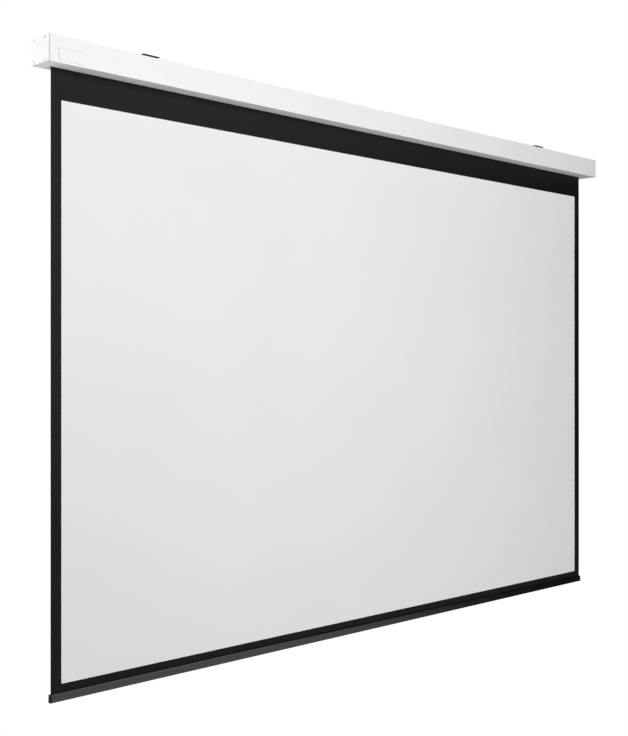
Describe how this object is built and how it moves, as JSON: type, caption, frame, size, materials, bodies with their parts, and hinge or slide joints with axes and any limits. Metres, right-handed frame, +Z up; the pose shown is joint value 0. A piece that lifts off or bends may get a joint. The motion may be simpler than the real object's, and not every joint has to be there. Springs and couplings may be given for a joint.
{
  "type": "motorized projection screen",
  "caption": "Ceiling or wall hung projection screen whose motor rolls a black-bordered white sheet, weighted by a bottom bar, into a slim white case.",
  "frame": {"origin": "on the ceiling plane, that is the top faces of the two brackets, midway along the case and midway through its depth", "axes": "+X along the screen to the right of a viewer who faces the image, +Y away from the viewer towards the wall, +Z up"},
  "size_m": [3.18, 0.119, 2.1197],
  "materials": {
    "white_paint": "satin",
    "white_plastic": "satin",
    "black_steel": "satin",
    "black_bar": "satin",
    "black_plastic": "satin",
    "zinc_steel": "satin",
    "bare_aluminium": "satin",
    "grey_nylon": "satin",
    "white_nylon": "satin",
    "yellow_plastic": "satin",
    "black_rubber": "matte",
    "black_fabric": "matte",
    "white_fabric": "matte"
  },
  "bodies": {
    "case": {"case_shell": "white_paint", "bottom_cover": "white_paint", "badge_plate": "white_plastic", "cable_grommet": "black_rubber", "end_cap_left": "white_paint", "end_cap_right": "white_paint", "end_screw_left_1": "zinc_steel", "end_screw_left_2": "zinc_steel", "end_screw_left_3": "zinc_steel", "end_screw_left_4": "zinc_steel", "end_screw_right_1": "zinc_steel", "end_screw_right_2": "zinc_steel", "end_screw_right_3": "zinc_steel", "end_screw_right_4": "zinc_steel", "motor_bracket": "zinc_steel", "motor_bracket_screw_top": "zinc_steel", "motor_bracket_screw_bottom": "zinc_steel", "motor_head": "black_plastic", "retaining_clip": "zinc_steel", "motor_tube": "zinc_steel", "motor_unit": "black_plastic", "gearbox": "grey_nylon", "terminal_block": "white_nylon", "terminal_screw": "zinc_steel", "motor_lead": "black_rubber", "idler_bracket": "zinc_steel", "idler_bracket_screw_top": "zinc_steel", "idler_bracket_screw_bottom": "zinc_steel", "idler_bush": "white_nylon", "screen_fabric": "black_fabric", "image_surface": "white_fabric"},
    "roller": {"roller_tube": "bare_aluminium", "limit_crown": "grey_nylon", "output_shaft": "zinc_steel", "drive_wheel": "grey_nylon", "idler_plug": "grey_nylon", "idler_pin": "zinc_steel", "fabric_keder": "white_nylon", "wound_fabric": "black_fabric"},
    "bottom_bar": {"bar_profile": "black_bar", "bar_cap_left": "black_plastic", "bar_cap_right": "black_plastic", "hem_rod": "zinc_steel"},
    "bracket_left": {"bracket_left": "black_steel", "clamp_jaw_left": "black_steel", "clamp_screw_left": "zinc_steel"},
    "bracket_right": {"bracket_right": "black_steel", "clamp_jaw_right": "black_steel", "clamp_screw_right": "zinc_steel"},
    "limit_screw_up": {"limit_screw_up": "white_nylon"},
    "limit_screw_down": {"limit_screw_down": "yellow_plastic"}
  },
  "joints": [
    {"name": "roller_spin", "type": "hinge", "parent": "case", "child": "roller", "pos_m": [0, -0.0102, -0.0485], "axis": [1, 0, 0], "range_deg": [0, 4000]},
    {"name": "bar_travel", "type": "slide", "parent": "case", "child": "bottom_bar", "axis": [0, 0, 1], "range_m": [0, 1.9953], "deforming": ["screen_fabric", "image_surface"]},
    {"name": "bracket_left_slide", "type": "slide", "parent": "case", "child": "bracket_left", "axis": [1, 0, 0], "range_m": [-0.15, 0.15]},
    {"name": "bracket_right_slide", "type": "slide", "parent": "case", "child": "bracket_right", "axis": [1, 0, 0], "range_m": [-0.15, 0.15]},
    {"name": "limit_screw_up_turn", "type": "hinge", "parent": "case", "child": "limit_screw_up", "pos_m": [-1.56795, -0.0102, -0.0656], "axis": [0, 0, 1], "continuous": true},
    {"name": "limit_screw_down_turn", "type": "hinge", "parent": "case", "child": "limit_screw_down", "pos_m": [-1.55995, -0.0102, -0.0656], "axis": [0, 0, 1], "continuous": true}
  ],
  "couplings": [
    {"joint": "bar_travel", "follows": "roller_spin", "m_per_rad": 0.02858}
  ]
}
